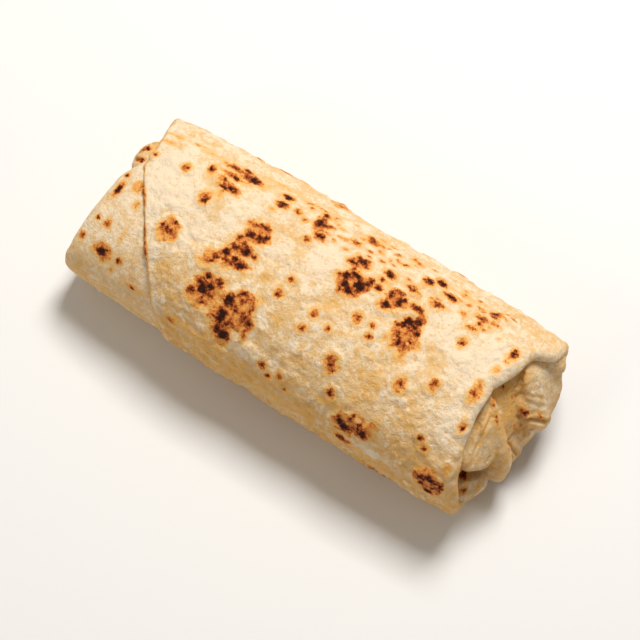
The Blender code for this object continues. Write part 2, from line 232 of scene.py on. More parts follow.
# The larger cores, placed one by one: x, g, radius along, radius across.
CORES = [
    # on the crest, towards the open end
    (7.5, -8, 1.4, 1.8), (10, -10.5, 1.9, 1.3), (13.5, -7.5, 1.9, 2.0), (15.5, -9.5, 1.2, 1.2), (8.5, -5, 1.6, 1.6),
    (11, -3.5, 2.3, 1.4), (8, -2, 0.8, 1.0), (5, -7.5, 1.1, 0.7), (8, -12, 0.9, 0.8), (16.5, -11.5, 0.9, 1.2),
    (9.5, -16.5, 1.6, 1.1), (6, -14.5, 1.6, 0.8), (19.5, -10.5, 1.0, 1.1), (20, -18, 1.5, 1.1), (25, -11, 0.8, 1.3),
    (28.5, -10, 1.2, 1.7), (25, -6.5, 1.3, 1.3), (27, -13.5, 2.1, 0.6), (30, -12, 0.6, 1.2), (34.5, -4, 1.2, 1.6),
    (35.5, -6, 1.9, 1.7), (38.5, -7.5, 1.5, 1.4), (38, -5, 1.1, 1.5), (40.5, -3.5, 0.9, 1.4), (32.5, -2.5, 0.9, 1.0),
    (34.5, 0.5, 1.0, 0.8), (36.5, 3, 1.2, 1.4), (39, 3, 0.8, 1.0), (40, 1, 0.8, 0.7), (35.5, -11.5, 1.9, 0.8),
    # on the crest, towards the closed end
    (-28.5, -8.5, 2.0, 0.8), (-30.5, -3, 1.8, 1.3), (-27, -3.5, 1.2, 1.2), (-33.5, -7, 0.8, 0.9), (-25, -5, 0.9, 1.2),
    (-33.5, 0, 0.9, 1.0), (-30.5, 1.5, 0.8, 0.8), (-28, 3.5, 1.5, 2.0), (-33, 4, 1.2, 0.8), (-31, 4, 1.0, 0.8),
    (-34.5, 7.5, 1.5, 1.9), (-36.5, 11, 0.9, 0.9), (-30, 8, 1.2, 1.2), (-27, 9.5, 1.8, 1.6), (-24.5, 4, 0.8, 0.8),
    # the big pair
    (-34.5, 23.5, 2.2, 2.0), (-32.5, 21.5, 1.5, 1.2), (-36.5, 22, 1.0, 1.2), (-30, 18.5, 1.6, 1.1), (-35, 18.5, 0.9, 0.9), (-38, 26, 1.3, 0.8), (-32.5, 27.5, 0.9, 0.9),
    (-24, 22, 1.8, 2.3), (-23.5, 28.5, 1.8, 2.8), (-23, 33.5, 1.2, 1.8), (-20, 34.5, 2.4, 1.7), (-16, 25, 0.9, 1.7),
    (-13.5, 26, 1.2, 1.2), (-15, 20, 0.7, 1.6), (-21.5, 18, 0.7, 1.4), (-13, 31, 0.7, 1.6),
    # low on the near side
    (32.5, 39.5, 1.6, 1.2), (35, 41, 2.3, 1.8), (36.5, 34.5, 1.2, 1.0), (42, 39, 1.6, 1.6), (40, 38.5, 0.8, 1.4),
    (35, 47, 1.8, 0.9), (67.5, 42.5, 1.5, 1.1), (70, 41, 1.2, 1.0), (72, 42, 2.0, 1.3), (68.5, 45.5, 1.2, 1.0),
    (75.5, 42.5, 0.8, 1.1), (71.5, 48, 1.8, 1.0),
    # streaks on the far side
    (-42.5, -24, 2.0, 1.6), (-47, -26.5, 1.6, 1.2), (-51, -24, 1.6, 0.7), (-48, -20, 1.1, 0.9), (-46.5, -14.5, 1.6, 0.9),
    (-49.5, -13.5, 1.6, 0.9), (-57.5, -17.5, 0.9, 1.0), (-52, -5, 0.9, 1.5), (-28, -25, 1.7, 1.1), (-28, -20.5, 1.7, 1.2),
    (-12.5, -21, 1.6, 1.5), (-12, -25.5, 1.1, 0.8), (-9, -16.5, 1.7, 0.8), (33, -24.5, 1.6, 1.3), (37, -27.5, 1.8, 1.1),
    (43, -24.5, 2.0, 1.2), (41, -18, 1.6, 0.6), (59.5, -27.5, 1.4, 1.2), (56.5, -22.5, 1.5, 0.6), (73.5, -15.5, 0.9, 1.7),
]


def extra_cores(fields, seed):
    """Small cores strewn inside each field, more of them where it is dark."""
    rng = np.random.default_rng(seed)
    cores = []
    for x, g, along, across, dark in fields:
        for _ in range(int(0.5 + dark * (1 + along * across / 3.5))):
            angle, far = rng.uniform(0, 2 * np.pi), rng.uniform(0, 0.85) ** 0.6
            if min(along, across) < 2.6:
                far *= 0.35
            size = rng.uniform(0.35, 0.95) * (0.55 + 0.45 * dark)
            cores.append((x + far * along * np.cos(angle), g + far * across * np.sin(angle), size, size * 0.9))
    return cores


def tiny_dots():
    """A swarm of brown dots on the far side of the crest, too small to have a golden field."""
    rng = np.random.default_rng(17)
    dots = []
    for _ in range(64):
        size = rng.uniform(0.15, 0.5)
        dots.append((rng.uniform(-22, 66), rng.uniform(-33, -15), size * rng.uniform(1, 2.2), size))
    return dots


def strewn_fields():
    """Spots of all sizes down the back and beneath."""
    rng = np.random.default_rng(18)
    spots = []
    while len(spots) < 46:
        x, g = rng.uniform(-72, 74), rng.uniform(58, WHOLE - 40)
        size = 1.0 + 5.5 * rng.random() ** 1.8
        if all(np.hypot(x - other[0], g - other[1]) > size + other[2] + 2 for other in spots):
            stretch = rng.uniform(0.85, 1.3)
            spots.append((x, g, size * stretch, size / stretch, rng.uniform(0.4, 0.8)))
    return [(x, float(wrap_round(g)), along, across, dark) for x, g, along, across, dark in spots]


ALL_FIELDS = FIELDS + strewn_fields()
ALL_CORES = CORES + extra_cores(ALL_FIELDS, 11) + tiny_dots()
print(len(ALL_FIELDS), "golden fields and", len(ALL_CORES), "dark cores")

# %% Depth inside fields and cores


def depth_inside(x, g, spots, ragged=0.36):
    """How many mm each point lies inside the nearest spot, negative outside; large spots are ragged."""
    best = np.full(np.shape(x), -4.0)
    for k, (x0, g0, along, across) in enumerate(spots):
        near = (np.abs(x - x0) < along + 5) & (np.abs(g - g0) < across + 5)
        if not near.any():
            continue
        place = np.stack([(x[near] - x0) / along, (g[near] - g0) / across, np.full(near.sum(), 7.3 * k)], -1)
        d = np.hypot(place[:, 0], place[:, 1])
        uneven = ragged * smooth(0.4, 4.0, min(along, across))
        d += uneven * (noise(place, 0.75, 61) + 0.6 * noise(place, 0.33, 62)) * smooth(0.1, 0.8, d)
        best[near] = np.maximum(best[near], min(along, across) * (1 - d))
    return best


def toast_and_shade_on_roll(x, g):
    g = wrap_round(g)
    field = depth_inside(x, g, [s[:4] for s in ALL_FIELDS])
    core = depth_inside(x, g, ALL_CORES)
    browned = smooth(5, 3, np.abs(g - 5)) + smooth(7, 5, np.abs(g - 20))  # two stretches of the rim itself
    from_rim = np.abs(x - rim_x(g) - 0.3)
    field = np.maximum(field, 1.6 * browned - 0.8 - from_rim)
    return field, np.maximum(core, 0.6 * browned - 0.5 - from_rim)


def flecks_on_roll(x, g):
    """How thickly the dough is flecked with tiny golden specks, 0 to 1."""
    zones = [(-26, -2, 26, 14), (36, -16, 40, 14), (-10, -34, 80, 12), (8, 8, 20, 14), (44, 8, 26, 22)]
    thick = np.zeros(np.shape(x))
    for x0, g0, along, across in zones:
        thick = np.maximum(thick, smooth(1.2, 0.3, np.hypot((x - x0) / along, (g - g0) / across)))
    return thick


FLOUR = [  # x, g, radius along, radius across, how white
    (-68, -6, 12, 18, 1.0), (-52, 6, 8, 14, 0.7), (-38, -10, 6, 14, 0.7), (-3, -11, 7, 14, 0.7), (66, -6, 12, 12, 1.0),
    (48, -10, 8, 8, 0.6), (45, 5, 6, 6, 0.5), (70, 16, 8, 12, 0.8), (-10, 34, 18, 6, 0.5), (-62, 26, 8, 12, 0.5),
    (50, 46, 14, 4, 0.6),
]


def flour_and_shade_on_roll(x, g):
    """White where floury (above 0), yellower below 0. Painted shade makes the near side yellower; the sheet is also
    yellower low on the far side and at the rim's edge, and whiter just inside the rim.
    """
    # painted shade: -0.75 from g = 4 to 60 makes the near side yellower and darker
    flour_and_shade = 0.25 - 0.75 * smooth(4, 60, g) + 0.1 * smooth(-6, -20, g) - 0.4 * smooth(-34, -50, g)
    for x0, g0, along, across, white in FLOUR:
        flour_and_shade = flour_and_shade + white * smooth(1.3, 0.4, np.hypot((x - x0) / along, (g - g0) / across))
    from_rim = x - rim_x(g)
    return flour_and_shade - 1.2 * np.exp(-((from_rim / 0.7) ** 2)) + 0.6 * np.exp(-(((from_rim - 2.5) / 1.3) ** 2))


# %% [markdown]
# ## Blisters and creases
#
# Steam lifts the dough into flat bubbles a few millimetres across. They are strewn by a seeded random
# generator, and every small toasted spot gets one of its own, because that is what toasted it. Where the
# sheet is pulled round a bend it creases: along the roll on its two sides, and across it at the hem.

# %% Height of the relief


def bubbles_on_roll():
    rng = np.random.default_rng(5)
    bubbles = []
    for _ in range(640):
        size = rng.uniform(1.0, 2.4) if rng.random() < 0.78 else rng.uniform(2.4, 4.6)
        stretch = rng.uniform(0.8, 1.3)
        bubbles.append((rng.uniform(-88, 82), rng.uniform(-75, 75), size * stretch, size / stretch,
                        rng.uniform(0.08, 0.17) * size**0.8))
    for x, g, along, across, _ in ALL_FIELDS:
        if 0.8 < min(along, across) and max(along, across) < 4.5:
            bubbles.append((x, g, along * 1.3 + 1.5, across * 1.3 + 1.5, 0.5))
    return bubbles + [(36, 42, 9.5, 8.5, 0.6), (71, 44, 7.5, 7, 0.5), (-57, 12, 7, 6.5, 0.5), (-19, 26, 10, 12, 0.5)]


BUBBLES = bubbles_on_roll()


def bubble_shape(x, g):
    """Height of the bubbles, and how near a point lies to the taut pale ring round a tall one."""
    height, ring = np.zeros(np.shape(x)), np.zeros(np.shape(x))
    for x0, g0, along, across, tall in BUBBLES:
        near = (np.abs(x - x0) < 1.1 * along) & (np.abs(g - g0) < 1.1 * across)
        if not near.any():
            continue
        d = np.hypot((x[near] - x0) / along, (g[near] - g0) / across)
        height[near] = np.maximum(height[near], tall * smooth(1.02, 0.75, d))
        if tall >= 0.4:
            ring[near] = np.maximum(ring[near], np.exp(-(((d - 0.92) / 0.09) ** 2)))
    return height, ring


def relief(point, x, g):
    """All the relief of the outer layer, in mm outward."""
    flat = np.stack([x, g, 0 * x], -1)
    height = 0.26 * noise(point, 13, 21) + 0.28 * noise(point, 5.5, 22) + 0.22 * noise(point, 2.4, 23)
    height += 0.10 * noise(point, 1.3, 26)
    height += bubble_shape(x, g)[0]
    near, far = smooth(32, 46, g), smooth(-20, -34, g)
    height += 0.24 * far * noise(flat, np.array([16, 2.6, 9]), 24)
    height += 0.25 * near * noise(flat, np.array([6.0, 3.6, 9]), 27) + 0.12 * near * noise(flat, 1.8, 29)
    hem = smooth(46, 72, x)
    slant = np.stack([x + 0.5 * g, g, 0 * x], -1)
    height += 0.4 * hem * noise(slant, np.array([3.2, 16, 9]), 25)
    return height


print(len(BUBBLES), "blisters")

# %% [markdown]
# ## From rows of points to a piece
#
# A roll is a natural grid: rows run round it and columns along it. The grid is pushed outward along its
# own normals by the relief, then made into quads.

# %% Grid helpers


def normals_of(rows):
    """Outward normals of a grid of points that closes on itself round the roll."""
    along = np.gradient(rows, axis=0)
    round_it = np.roll(rows, -1, axis=1) - np.roll(rows, 1, axis=1)
    normal = np.cross(round_it, along)
    normal /= np.linalg.norm(normal, axis=-1, keepdims=True) + 1e-9
    return normal


def add_numbers(mesh, name, values):
    layer = mesh.attributes.new(name, "FLOAT", "POINT")
    layer.data.foreach_set("value", np.ascontiguousarray(values, np.float32).ravel())


def mesh_piece(name, points, faces, numbers, material):
    mesh = bpy.data.meshes.new(name)
    mesh.from_pydata((np.asarray(points) * MM).tolist(), [], faces)
    for key, values in numbers.items():
        add_numbers(mesh, key, values)
    mesh.materials.append(material)
    mesh.shade_smooth()
    piece = bpy.data.objects.new(name, mesh)
    bpy.context.scene.collection.objects.link(piece)
    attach(piece, "root")
    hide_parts("tortilla")
    print(name, len(mesh.vertices), "points,", len(mesh.polygons), "faces")
    return piece


def grid_faces(rows, columns):
    index = np.arange(rows * columns).reshape(rows, columns)
    a, b = index[:-1], index[1:]
    quads = np.stack([a, np.roll(a, -1, 1), np.roll(b, -1, 1), b], -1)
    return quads.reshape(-1, 4).tolist()


# %% [markdown]
# ## The dough as a material
#
# The bare dough is mottled: cream, tan where it is thin, white where flour stuck to a blister. Its flour
# number also carries painted shade: where it is low the dough turns tan and darker, down the near side and
# in some folds. Over it goes one ramp of toasted colours, read by heat: amber, burnt orange, brown and at
# last char. The toast numbers from the mesh say how hot each place was, and in a few lines and spots they
# paint shade instead; fine noise breaks that up. One node group does this for every piece, so that the
# tucks match the roll.

# %% Node helpers


def socket(group, name, way, kind, value=None):
    item = group.interface.new_socket(name=name, in_out=way, socket_type=kind)
    if value is not None:
        item.default_value = value
    return item


class Nodes:
    """Places nodes in a tree and links them in one call each."""

    def __init__(self, tree):
        self.tree = tree

    def add(self, kind, settings=None, **inputs):
        node = self.tree.nodes.new(kind)
        for key, value in (settings or {}).items():
            setattr(node, key, value)
        for key, value in inputs.items():
            self.plug(node.inputs[key.replace("_", " ")], value)
        return node

    def plug(self, target, value):
        if isinstance(value, bpy.types.NodeSocket):
            self.tree.links.new(value, target)
        else:
            target.default_value = value

    def math(self, operation, a, b=0.0, clamp=False):
        node = self.tree.nodes.new("ShaderNodeMath")
        node.operation = operation
        node.use_clamp = clamp
        self.plug(node.inputs[0], a)
        self.plug(node.inputs[1], b)
        return node.outputs[0]

    def step(self, value, low, high):
        """A soft step from 0 at low to 1 at high."""
        node = self.tree.nodes.new("ShaderNodeMapRange")
        node.interpolation_type = "SMOOTHSTEP"
        self.plug(node.inputs["Value"], value)
        node.inputs["From Min"].default_value = low
        node.inputs["From Max"].default_value = high
        return node.outputs[0]

    def noise(self, where, size, detail=3.0, rough=0.6):
        """Noise from -1 to 1 with lumps of about size mm."""
        node = self.tree.nodes.new("ShaderNodeTexNoise")
        self.plug(node.inputs["Vector"], where)
        node.inputs["Scale"].default_value = 1 / (size * MM)
        node.inputs["Detail"].default_value = detail
        node.inputs["Roughness"].default_value = rough
        centred = self.math("SUBTRACT", node.outputs["Fac"], 0.5)
        return self.math("MULTIPLY", centred, 3.0)

    def cells(self, where, size, randomness=1.0):
        """Distance to the nearest of points strewn about size mm apart."""
        node = self.tree.nodes.new("ShaderNodeTexVoronoi")
        self.plug(node.inputs["Vector"], where)
        node.inputs["Scale"].default_value = 1 / (size * MM)
        node.inputs["Randomness"].default_value = randomness
        return node.outputs["Distance"]

    def warped(self, where, amount, size):
        """The place shifted by noise, so that cells lose their regular shape."""
        shift = self.tree.nodes.new("ShaderNodeTexNoise")
        self.plug(shift.inputs["Vector"], where)
        shift.inputs["Scale"].default_value = 1 / (size * MM)
        centred = self.add("ShaderNodeVectorMath", {"operation": "SUBTRACT"}).outputs[0]
        self.plug(centred.node.inputs[0], shift.outputs["Color"])
        self.plug(centred.node.inputs[1], (0.5, 0.5, 0.5))
        moved = self.add("ShaderNodeVectorMath", {"operation": "MULTIPLY_ADD"})
        self.plug(moved.inputs[0], centred)
        self.plug(moved.inputs[1], (3 * amount * MM,) * 3)
        self.plug(moved.inputs[2], where)
        return moved.outputs[0]

    def mix(self, factor, a, b):
        node = self.tree.nodes.new("ShaderNodeMix")
        node.data_type = "RGBA"
        self.plug(node.inputs[0], factor)
        self.plug(node.inputs[6], a)
        self.plug(node.inputs[7], b)
        return node.outputs[2]


# %% The toasted dough group
CREAM = (0.83, 0.57, 0.29, 1)
FLOURY = (0.93, 0.78, 0.58, 1)
TAN = (0.80, 0.46, 0.14, 1)
GLOW = (0.88, 0.51, 0.16, 1)
CRUMB = (0.56, 0.28, 0.085, 1)
# from lightly toasted to charred
HEAT_COLOURS = [
    (0.00, (0.88, 0.56, 0.20)), (0.18, (0.87, 0.43, 0.10)), (0.36, (0.68, 0.210, 0.045)),
    (0.52, (0.37, 0.074, 0.015)), (0.68, (0.14, 0.027, 0.007)), (0.90, (0.030, 0.009, 0.005)),
]


def toasted_dough():
    group = bpy.data.node_groups.new("Toasted dough", "ShaderNodeTree")
    socket(group, "Field", "INPUT", "NodeSocketFloat", -4.0)
    socket(group, "Core", "INPUT", "NodeSocketFloat", -4.0)
    socket(group, "Fleck", "INPUT", "NodeSocketFloat", 0.0)
    socket(group, "Blister", "INPUT", "NodeSocketFloat", 0.0)
    socket(group, "Flour_and_shade", "INPUT", "NodeSocketFloat", 0.0)
    socket(group, "Color", "OUTPUT", "NodeSocketColor")
    socket(group, "Roughness", "OUTPUT", "NodeSocketFloat")
    socket(group, "Height", "OUTPUT", "NodeSocketFloat")
    n = Nodes(group)
    given = n.add("NodeGroupInput").outputs
    where = n.add("ShaderNodeTexCoord").outputs["Object"]

    broad = n.noise(where, 9.0, 2.0)
    middle = n.noise(where, 3.4, 3.0)
    fine = n.noise(where, 1.2, 4.0, 0.7)
    grain = n.noise(where, 0.5, 2.0, 0.7)

    # bare dough: cream, thinner tan patches, floury highs, and a fine crumb of both; a low flour number, which also
    # carries painted shade, turns it tan
    uneven = n.math("ADD", n.math("MULTIPLY", broad, 0.6), n.math("ADD", middle, n.math("MULTIPLY", fine, 0.4)))
    yellow = n.math("SUBTRACT", uneven, n.math("MULTIPLY", given["Flour_and_shade"], 0.8))
    dough = n.mix(n.step(yellow, -0.35, 0.65), CREAM, TAN)
    high = n.math("ADD", n.math("MULTIPLY", given["Blister"], 0.7), n.math("MULTIPLY", fine, 0.9))
    high = n.math("ADD", high, n.math("MULTIPLY", given["Flour_and_shade"], 0.7))
    patchy = n.noise(where, 2.2, 3.0, 0.65)
    high = n.math("ADD", high, n.math("MULTIPLY", patchy, 0.75))
    floury = n.step(n.math("SUBTRACT", high, n.math("MULTIPLY", broad, 0.6)), 0.0, 0.8)
    dough = n.mix(n.math("MULTIPLY", floury, 0.85), dough, FLOURY)
    pits = n.math("ADD", n.math("MULTIPLY", fine, 0.7), n.math("MULTIPLY", grain, 0.6))
    crumb = n.step(n.math("ADD", pits, n.math("MULTIPLY", patchy, 0.5)), 0.1, -0.8)
    bare = n.math("SUBTRACT", 0.26, n.math("MULTIPLY", given["Flour_and_shade"], 0.9), clamp=True)
    dough = n.mix(n.math("MULTIPLY", crumb, bare), dough, CRUMB)

    # flecks: tiny golden specks, thickest near the toasted fields
    cell = n.cells(n.warped(where, 0.3, 0.8), 1.5)
    reach = n.math("ADD", n.math("MULTIPLY", given["Fleck"], 0.23), n.math("MULTIPLY", middle, 0.24))
    near_field = n.math("MULTIPLY", n.step(given["Field"], -3.6, -0.4), 0.10)
    reach = n.math("ADD", reach, near_field)
    fleck = n.step(n.math("SUBTRACT", reach, cell), -0.12, 0.08)

    # heat: highest at the cores, lower in the fields round them, broken into lumps
    frayed = n.math("ADD", n.math("MULTIPLY", middle, 0.5), n.math("MULTIPLY", fine, 0.8))
    field = n.step(n.math("ADD", given["Field"], frayed), -0.7, 0.8)
    cored = n.math("ADD", given["Core"], n.math("MULTIPLY", fine, 1.1))
    glow = n.math("MULTIPLY", n.step(cored, -1.9, -0.2), 0.15)
    hot = n.math("MULTIPLY", n.step(cored, -0.7, 1.4), 0.62)
    heat = n.math("ADD", n.math("MULTIPLY", field, 0.21), n.math("ADD", glow, hot))
    blob = n.step(n.cells(n.warped(where, 0.8, 1.5), 2.3), 0.55, 0.1)
    lumps = n.math("ADD", n.math("MULTIPLY", fine, 0.15), n.math("MULTIPLY", grain, 0.08))
    lumps = n.math("ADD", lumps, n.math("MULTIPLY", blob, 0.17))
    heat = n.math("ADD", heat, n.math("MULTIPLY", lumps, field))
    heat = n.math("MAXIMUM", heat, n.math("MULTIPLY", fleck, 0.13))

    wavy = n.math("ADD", given["Field"], n.math("MULTIPLY", middle, 1.2))
    ring = n.math("MULTIPLY", n.step(wavy, -3.6, -2.4), n.step(wavy, -1.4, -2.4))
    dough = n.mix(n.math("MULTIPLY", ring, 0.15), dough, FLOURY)
    warm = n.step(wavy, -1.4, 0.0)
    dough = n.mix(n.math("MULTIPLY", warm, 0.7), dough, GLOW)
    ramp = n.add("ShaderNodeValToRGB", Fac=heat)
    for place, colour in HEAT_COLOURS[2:]:
        ramp.color_ramp.elements.new(place)
    for stop, (place, colour) in zip(ramp.color_ramp.elements, HEAT_COLOURS):
        stop.position, stop.color = place, (*colour, 1)
    toast = n.step(heat, 0.0, 0.24)
    colour = n.mix(toast, dough, ramp.outputs["Color"])

    dark = n.step(heat, 0.5, 0.95)
    rough = n.math("ADD", 0.58, n.math("MULTIPLY", fine, 0.10))
    rough = n.math("ADD", rough, n.math("MULTIPLY", dark, 0.10))
    height = n.math("ADD", n.math("MULTIPLY", fine, 0.24), n.math("MULTIPLY", grain, 0.08))
    height = n.math("ADD", height, n.math("MULTIPLY", middle, 0.10))
    height = n.math("ADD", height, n.math("MULTIPLY", n.cells(where, 1.7), 0.13))
    height = n.math("SUBTRACT", height, n.math("MULTIPLY", field, 0.05))
    height = n.math("ADD", height, n.math("MULTIPLY", dark, 0.10))
    n.add("NodeGroupOutput", Color=colour, Roughness=rough, Height=height)
    return group


DOUGH_GROUP = toasted_dough()
print("group", DOUGH_GROUP.name, "has", len(DOUGH_GROUP.nodes), "nodes")

# %% The material


def dough_material(name):
    material = bpy.data.materials.new(name)
    material.use_nodes = True
    tree = material.node_tree
    shader = tree.nodes["Principled BSDF"]
    n = Nodes(tree)
    group = tree.nodes.new("ShaderNodeGroup")
    group.node_tree = DOUGH_GROUP
    for number in ("Field", "Core", "Fleck", "Blister", "Flour_and_shade"):
        painted = n.add("ShaderNodeAttribute", {"attribute_name": number.lower()}).outputs["Fac"]
        n.plug(group.inputs[number], painted)
    bump = n.add("ShaderNodeBump", Height=group.outputs["Height"])
    bump.inputs["Distance"].default_value = MM
    bump.inputs["Strength"].default_value = 1.0
    n.plug(shader.inputs["Base Color"], group.outputs["Color"])
    n.plug(shader.inputs["Roughness"], group.outputs["Roughness"])
    n.plug(shader.inputs["Normal"], bump.outputs["Normal"])
    shader.inputs["Metallic"].default_value = 0.0
    shader.inputs["Subsurface Weight"].default_value = 0.10
    shader.inputs["Subsurface Radius"].default_value = (1.0, 0.45, 0.2)
    shader.inputs["Subsurface Scale"].default_value = 0.003
    shader.inputs["Specular IOR Level"].default_value = 0.10
    return material


DOUGH = dough_material("toasted tortilla")

# %% [markdown]
# ## The outer layer
#
# The layer's two edges differ. The rim is the cut-free edge of one thin sheet; the hem is a sheet folded
# back on itself, twice as thick. Both are made the same way: the outermost rows curl inward round a small
# radius and run back under the layer, so that no edge looks like paper.

# %% Build the wrap
BODY_ROWS = 250


def places_round(shown=290, under=32):
    """Girth positions round the roll: half a millimetre apart where it shows, wider underneath."""
    top = np.linspace(-76, 76, shown)
    return wrap_round(np.concatenate([top, np.linspace(76, WHOLE - 76, under + 2)[1:-1]]))


def edge_radius(g):
    """Roundness of the left edge: a bare rim on top, a fold on the far side."""
    return 1.0 + 1.4 * smooth(-12, -26, g) * smooth(-70, -50, g)


def wrap_rows():
    g = places_round()
    rim, lip, radius = rim_x(g), lip_x(g), edge_radius(g)
    rows = [(rim + 9, 2 * radius + 0.6), (rim + 4, 2 * radius + 0.3)]
    for turn in np.radians([165, 130, 95, 60, 30]):
        rows.append((rim + radius * (1 - np.sin(turn)), radius * (1 - np.cos(turn))))
    start, stop = rim + radius, lip - 2.6
    for t in np.linspace(0, 1, BODY_ROWS):
        rows.append((start + (stop - start) * t, 0 * g))
    for turn in np.radians([15, 30, 45, 60, 75, 90, 105, 120, 135, 150, 170]):
        rows.append((lip + 2.6 * (np.sin(turn) - 1), 2.6 * (1 - np.cos(turn)) + 0 * g))
    for back in (4, 6, 8, 10, 13):
        rows.append((lip - back, 5.3 + 0.05 * back + 0 * g))
    x = np.stack([row[0] for row in rows])
    inset = np.stack([row[1] for row in rows])
    return x, np.broadcast_to(g, x.shape).copy(), inset


x, g, inset = wrap_rows()
points = roll_point(x, g, inset)
outside = smooth(3.0, 0.5, inset)
push = relief(points, x, g) * outside * smooth(86, 74, np.abs(g))
points = points + normals_of(points) * push[..., None]
points[..., 2] = np.maximum(points[..., 2], 0)
field, core = toast_and_shade_on_roll(x, g)
field = np.where(inset > 1.5, -4, field)
core = np.where(inset > 1.5, -4, core)
blister, ring = bubble_shape(x, wrap_round(g))
painted = {
    "field": field,
    "core": core,
    "fleck": flecks_on_roll(x, wrap_round(g)) * outside,
    "blister": np.clip(blister / 0.35, 0, 1) * outside * smooth(-0.7, 0.5, noise(points, 3, 28)) * smooth(-1, -3, field),
    "flour_and_shade": flour_and_shade_on_roll(x, wrap_round(g)) + 0.3 * ring,
}
wrap = mesh_piece("outer_layer", points.reshape(-1, 3), grid_faces(*x.shape), painted, DOUGH)

# %% [markdown]
# ## The tucks
#
# The folds at the ends are pads of doubled tortilla. Each is lofted along a short curved spine with a
# half width at every point: flat in the middle, round at the edges. Joined and remeshed at half a
# millimetre, they meet in the sharp valleys that real folds have, and a little smoothing softens them.

# %% Pads and their joining


def curve(spine, t):
    """A smooth curve through the spine's points, at t from 0 to 1."""
    spine = np.asarray(spine, float)
    padded = np.vstack([2 * spine[0] - spine[1], spine, 2 * spine[-1] - spine[-2]])
    at = np.clip(t, 0, 1) * (len(spine) - 1)
    k = min(int(at), len(spine) - 2)
    f = at - k
    a, b, c, d = padded[k : k + 4]
    return b + 0.5 * f * (c - a + f * (2 * a - 5 * b + 4 * c - d + f * (3 * (b - c) + d - a)))


def pad(spine, thick, facing, square=0.7, around=40, along=40):
    """Points and faces of one pad; lower values of square give flatter sides."""
    facing = Vector(facing).normalized()
    points = []
    for k in range(along + 1):
        turn = np.pi * (0.02 + 0.96 * k / along)
        t = 0.5 - 0.5 * np.cos(turn)
        x, y, z, half = curve(spine, t)
        ahead = Vector(curve(spine, t + 0.02)[:3] - curve(spine, t - 0.02)[:3]).normalized()
        side = facing.cross(ahead).normalized()
        out = ahead.cross(side)
        swell = np.sin(turn) ** 0.5
        for i in range(around):
            a = 2 * np.pi * i / around
            across = half * swell * np.sign(np.cos(a)) * abs(np.cos(a)) ** square
            up = thick / 2 * swell * np.sign(np.sin(a)) * abs(np.sin(a)) ** square
            points.append(Vector((x, y, z)) + side * across + out * up)
    faces = grid_faces(along + 1, around)
    faces.append(list(range(around))[::-1])
    faces.append([along * around + i for i in range(around)])
    return np.array(points), faces


def join_soft(name, solids, voxel, softness):
    """One skin round all the solids, with softened valleys; returns its points and faces."""
    mesh = bpy.data.meshes.new(name)
    points, faces, first = [], [], 0
    for solid_points, solid_faces in solids:
        points.append(solid_points)
        faces += [[first + i for i in face] for face in solid_faces]
        first += len(solid_points)
    mesh.from_pydata((np.vstack(points) * MM).tolist(), [], faces)
    bm = bmesh.new()
    bm.from_mesh(mesh)
    bmesh.ops.recalc_face_normals(bm, faces=bm.faces)
    bm.to_mesh(mesh)
    bm.free()
    rough = bpy.data.objects.new(name, mesh)
    bpy.context.scene.collection.objects.link(rough)
    remesh = rough.modifiers.new("skin", "REMESH")
    remesh.mode = "VOXEL"
    remesh.voxel_size = voxel * MM
    soften = rough.modifiers.new("soften", "SMOOTH")
    soften.factor = 0.5
    soften.iterations = softness
    done = bpy.data.meshes.new_from_object(rough.evaluated_get(bpy.context.evaluated_depsgraph_get()))
    bpy.data.objects.remove(rough)
    bpy.data.meshes.remove(mesh)
    points = np.empty(len(done.vertices) * 3)
    done.vertices.foreach_get("co", points)
    normals = np.empty(len(done.vertices) * 3)
    done.vertex_normals.foreach_get("vector", normals)
    faces = [tuple(p.vertices) for p in done.polygons]
    bpy.data.meshes.remove(done)
    return points.reshape(-1, 3) / MM, normals.reshape(-1, 3), faces


# %% Pressing creases into a skin


def distance_to_path(points, path):
    """Distance from each point to a path of straight stretches, and how far along it (0 to 1) the foot is."""
    path = np.asarray(path, float)
    best, along = np.full(len(points), 1e9), np.zeros(len(points))
    for k in range(len(path) - 1):
        step = path[k + 1] - path[k]
        t = np.clip((points - path[k]) @ step / (step @ step + 1e-9), 0, 1)
        d = np.linalg.norm(points - path[k] - t[:, None] * step, axis=1)
        along = np.where(d < best, (k + t) / (len(path) - 1), along)
        best = np.minimum(best, d)
    return best, along


def lay_on(points, path):
    """The path redrawn in short steps, each laid on the nearest point of the skin."""
    path = np.asarray(path, float)
    at = np.linspace(0, len(path) - 1, 8 * (len(path) - 1) + 1)
    drawn = np.stack([np.interp(at, range(len(path)), path[:, k]) for k in range(3)], -1)
    return np.array([points[np.argmin(((points - place) ** 2).sum(1))] for place in drawn])


def creases(points, normals, folds):
    """Presses each fold in as a sharp valley with a low ridge on both sides; the ends run out shallow."""
    push = np.zeros(len(points))
    for deep, wide, path in folds:
        d, along = distance_to_path(points, lay_on(points, path))
        strength = smooth(0, 0.15, along) * smooth(1, 0.8, along) * 0.75 + 0.25
        valley = -np.exp(-((d / wide) ** 1.4))
        ridge = 0.35 * np.exp(-(((d - 2.2 * wide) / wide) ** 2))
        push += deep * strength * (valley + ridge)
    return points + normals * push[:, None]


# %% [markdown]
# ## The closed end
#
# Beyond the rim shows the layer beneath. It runs on to a straight crease and folds down over the end.
# The face of the end, which lies in shade, has two flaps, one tucked over the other.

# %% Build the closed end


def inner_inset(g):
    return 2.2 - 1.1 * smooth(10, 60, wrap_round(g))


def crease_x(g):
    g = wrap_round(g)
    x = -82 - 6.2 * smooth(-14, 2, g) - 4 * np.clip(g / 60, 0, 1)
    return x + (-82 - x) * smooth(74, 104, g)


